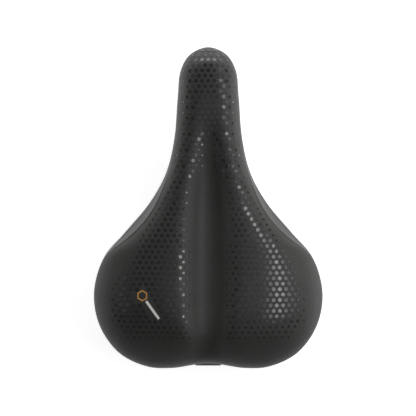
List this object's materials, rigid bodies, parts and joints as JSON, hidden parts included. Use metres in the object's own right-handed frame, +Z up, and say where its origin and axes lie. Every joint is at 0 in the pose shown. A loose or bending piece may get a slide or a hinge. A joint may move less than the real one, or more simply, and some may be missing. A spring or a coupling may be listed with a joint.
{
  "type": "bicycle saddle",
  "caption": "Padded bicycle saddle with a relief channel, wide wings, a nose pivot on its rails and elastomer blocks under the tail.",
  "frame": {"origin": "midway between the two rails, in the middle of their straight clamping length, at the height of their axes", "axes": "-Y to the nose, +Y to the tail, +Z up, +X to the rider's left"},
  "size_m": [0.1884, 0.2648, 0.0758],
  "materials": {
    "cover": "matt synthetic leather with glossy printed dots",
    "foam": "open-cell foam",
    "gel": "soft gel",
    "base": "moulded, fine grain",
    "cup": "moulded",
    "zinc": "zinc plated",
    "bush": "nylon",
    "bracket": "black powder coat",
    "staple": "galvanised",
    "rail": "satin steel",
    "elastomer": "matt",
    "cap": "grey, matt"
  },
  "bodies": {
    "undercarriage": {"rail_wire": "rail", "rear_bridge": "bracket", "lower_cup_left": "cup", "lower_cup_right": "cup", "elastomer_left": "elastomer", "elastomer_right": "elastomer", "rebound_ring_left": "elastomer", "rebound_ring_right": "elastomer"},
    "seat": {"cover": "cover", "foam_pad": "foam", "gel_pad_left": "gel", "gel_pad_right": "gel", "base_shell": "base", "spring_seat_left": "cup", "spring_seat_right": "cup", "load_plates": "zinc", "suspension_bolts": "zinc", "bolt_washers": "zinc", "lock_nuts": "zinc", "pivot_bush_upper": "bush", "pivot_bush_lower": "bush", "nose_keeper": "bracket", "keeper_screws": "zinc", "cover_staples": "staple", "clip_socket": "base", "clip_screws": "zinc"},
    "clip_cap": {"clip_cap": "cap"}
  },
  "joints": [
    {"name": "shell_pivot", "type": "hinge", "parent": "undercarriage", "child": "seat", "pos_m": [0, -0.112, 0.025], "axis": [-1, 0, 0], "range_deg": [0, 2.5], "stiffness_Nm_per_rad": 1500, "springref_deg": -0.74, "deforming": ["elastomer_left", "elastomer_right"]},
    {"name": "clip_cap_slide", "type": "slide", "parent": "seat", "child": "clip_cap", "axis": [0, 1, 0], "range_m": [0, 0.02]}
  ]
}
